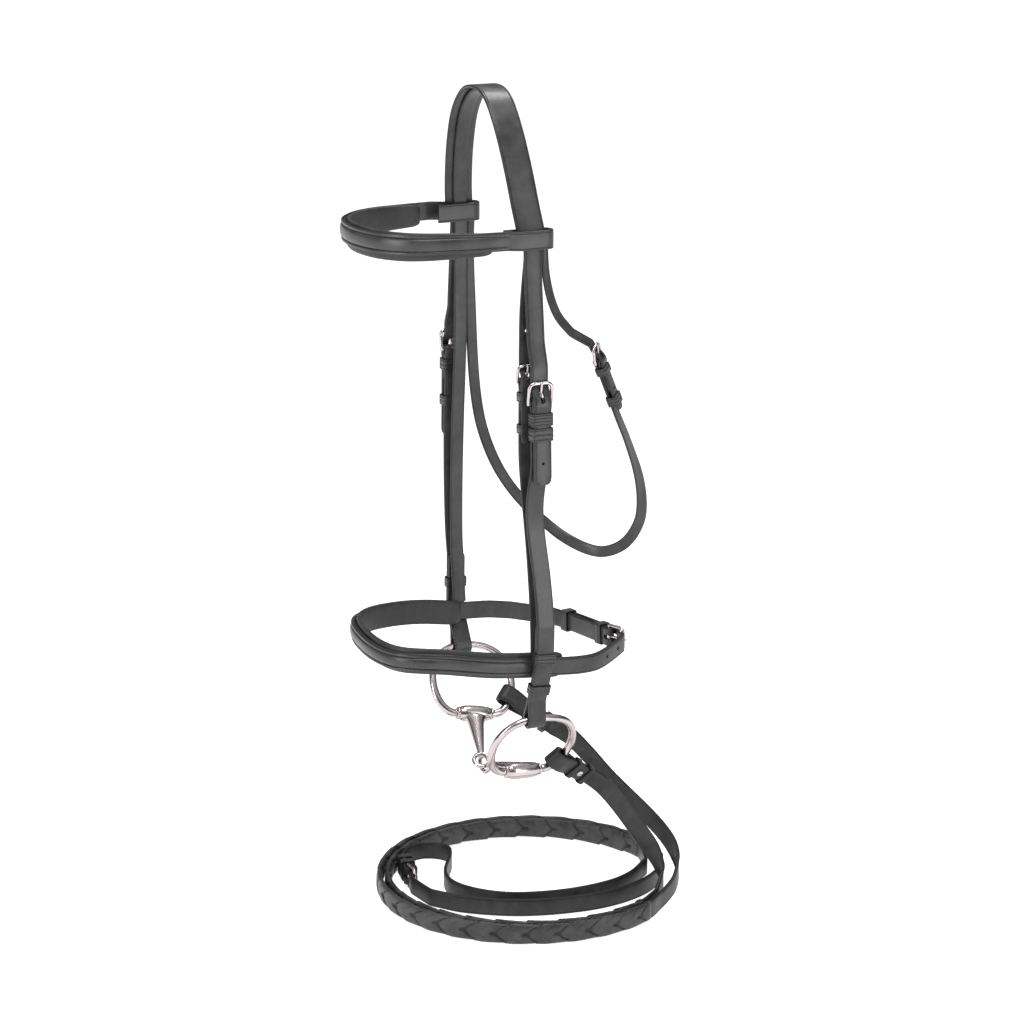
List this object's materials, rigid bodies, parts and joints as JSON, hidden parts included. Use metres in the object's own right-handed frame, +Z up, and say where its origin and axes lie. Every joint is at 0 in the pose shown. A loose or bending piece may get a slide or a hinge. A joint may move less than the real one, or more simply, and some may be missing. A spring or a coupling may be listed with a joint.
{
  "type": "snaffle bridle",
  "caption": "Black leather snaffle bridle with padded browband and noseband, throatlash, buckled cheek straps, jointed eggbutt bit and laced reins coiled below it.",
  "frame": {"origin": "middle of the underside of the crown, where the bridle rests on the poll", "axes": "+Z up, -Y the way the horse faces, +X the near (left) side"},
  "size_m": [0.2663, 0.2964, 0.7171],
  "materials": {
    "bridle_leather": "black vegetable-tanned bridle leather, slightly waxed, with worn edges",
    "soft_leather": "softer black leather: padding covers, lacing and the strap under the crown",
    "steel": "polished stainless steel"
  },
  "bodies": {
    "strapwork": {"headpiece": "bridle_leather", "noseband_headstrap": "soft_leather", "throatlash_billet": "bridle_leather", "throatlash_strap": "bridle_leather", "browband_strap": "bridle_leather", "browband_padding": "soft_leather", "browband_raised_front": "bridle_leather", "near_cheekpiece": "bridle_leather", "far_cheekpiece": "bridle_leather", "near_cheek_buckle": "steel", "near_cheek_fixed_keeper": "bridle_leather", "far_cheek_buckle": "steel", "far_cheek_fixed_keeper": "bridle_leather", "near_bit_loop_keepers": "bridle_leather", "far_bit_loop_keepers": "bridle_leather", "near_cheek_stud": "steel", "far_cheek_stud": "steel", "noseband_cheek_strap": "soft_leather", "headstrap_buckle": "steel", "headstrap_fixed_keeper": "bridle_leather", "noseband_strap": "bridle_leather", "noseband_padding": "soft_leather", "noseband_raised_front": "bridle_leather", "chin_buckle": "steel", "chin_fixed_keeper": "bridle_leather", "throatlash_buckle": "steel", "throatlash_fixed_keeper": "bridle_leather", "near_rein": "bridle_leather", "far_rein": "bridle_leather", "near_rein_lacing": "soft_leather", "far_rein_lacing": "soft_leather", "rein_buckle": "steel", "rein_fixed_keeper": "bridle_leather"},
    "near_cheek_tongue": {"near_cheek_tongue": "steel"},
    "near_cheek_running_keeper": {"near_cheek_running_keeper": "bridle_leather"},
    "far_cheek_tongue": {"far_cheek_tongue": "steel"},
    "far_cheek_running_keeper": {"far_cheek_running_keeper": "bridle_leather"},
    "headstrap_tongue": {"headstrap_tongue": "steel"},
    "headstrap_running_keeper": {"headstrap_running_keeper": "bridle_leather"},
    "throatlash_tongue": {"throatlash_tongue": "steel"},
    "throatlash_running_keeper": {"throatlash_running_keeper": "bridle_leather"},
    "chin_tongue": {"chin_tongue": "steel"},
    "chin_running_keeper": {"chin_running_keeper": "bridle_leather"},
    "rein_tongue": {"rein_tongue": "steel"},
    "rein_running_keeper": {"rein_running_keeper": "bridle_leather"},
    "near_ring": {"near_ring": "steel", "near_rein_loop": "bridle_leather", "near_rein_loop_keepers": "bridle_leather", "near_rein_stud": "steel"},
    "far_ring": {"far_ring": "steel", "far_rein_loop": "bridle_leather", "far_rein_loop_keepers": "bridle_leather", "far_rein_stud": "steel"},
    "near_mouthpiece": {"near_cannon": "steel"},
    "far_mouthpiece": {"far_cannon": "steel"}
  },
  "joints": [
    {"name": "near_cheek_tongue_hinge", "type": "hinge", "parent": "strapwork", "child": "near_cheek_tongue", "pos_m": [0.08955, 0.009, -0.24696], "axis": [0, 1, 0], "range_deg": [0, 30]},
    {"name": "near_cheek_keeper_slide", "type": "slide", "parent": "strapwork", "child": "near_cheek_running_keeper", "axis": [-0.0286, 0, 0.9996], "range_m": [-0.012, 0.0014]},
    {"name": "far_cheek_tongue_hinge", "type": "hinge", "parent": "strapwork", "child": "far_cheek_tongue", "pos_m": [-0.08955, 0.007, -0.23596], "axis": [0, -1, 0], "range_deg": [0, 30]},
    {"name": "far_cheek_keeper_slide", "type": "slide", "parent": "strapwork", "child": "far_cheek_running_keeper", "axis": [0.0286, 0, 0.9996], "range_m": [-0.002, 0.018]},
    {"name": "headstrap_tongue_hinge", "type": "hinge", "parent": "strapwork", "child": "headstrap_tongue", "pos_m": [0.07725, 0.002, -0.23], "axis": [0, 1, 0], "range_deg": [0, 14]},
    {"name": "headstrap_keeper_slide", "type": "slide", "parent": "strapwork", "child": "headstrap_running_keeper", "axis": [0, 0, 1], "range_m": [-0.006, 0.016]},
    {"name": "throatlash_tongue_hinge", "type": "hinge", "parent": "strapwork", "child": "throatlash_tongue", "pos_m": [0.07493, 0.06879, -0.21873], "axis": [-0.6667, 0.6667, 0.3333], "range_deg": [0, 30]},
    {"name": "throatlash_keeper_slide", "type": "slide", "parent": "strapwork", "child": "throatlash_running_keeper", "axis": [0.0655, -0.3931, 0.9172], "range_m": [-0.003, 0.018]},
    {"name": "chin_tongue_hinge", "type": "hinge", "parent": "strapwork", "child": "chin_tongue", "pos_m": [0.03574, 0.10053, -0.47401], "axis": [-0.0286, 0, 0.9996], "range_deg": [0, 30]},
    {"name": "chin_keeper_slide", "type": "slide", "parent": "strapwork", "child": "chin_running_keeper", "axis": [0.9852, 0.1689, 0.0281], "range_m": [-0.005, 0.038]},
    {"name": "rein_tongue_hinge", "type": "hinge", "parent": "strapwork", "child": "rein_tongue", "pos_m": [-0.04968, -0.05438, -0.701], "axis": [0, 0, 1], "range_deg": [0, 30]},
    {"name": "rein_keeper_slide", "type": "slide", "parent": "strapwork", "child": "rein_running_keeper", "axis": [0.9806, -0.1961, 0], "range_m": [0, 0.004]},
    {"name": "far_ring_swing", "type": "hinge", "parent": "strapwork", "child": "far_ring", "pos_m": [-0.083, 0.0195, -0.505], "axis": [0, 1, 0], "range_deg": [-2.5, 3]},
    {"name": "near_ring_swing", "type": "hinge", "parent": "strapwork", "child": "near_ring", "pos_m": [0.086, 0.0145, -0.521], "axis": [0, 1, 0], "range_deg": [-0.54, 0.45]},
    {"name": "far_mouthpiece_swing", "type": "hinge", "parent": "far_ring", "child": "far_mouthpiece", "pos_m": [-0.04857, 0.00949, -0.55801], "axis": [0.0852, 0.9877, -0.1312], "range_deg": [-8.25, 6.88]},
    {"name": "near_mouthpiece_swing", "type": "hinge", "parent": "near_ring", "child": "near_mouthpiece", "pos_m": [0.05558, 0.00892, -0.57703], "axis": [-0.0416, 0.9962, -0.0766], "range_deg": [-2.75, 3.3]}
  ],
  "couplings": [
    {"joint": "near_ring_swing", "follows": "far_ring_swing", "ratio": -0.18},
    {"joint": "far_mouthpiece_swing", "follows": "far_ring_swing", "ratio": -2.75},
    {"joint": "near_mouthpiece_swing", "follows": "far_ring_swing", "ratio": 1.1}
  ]
}
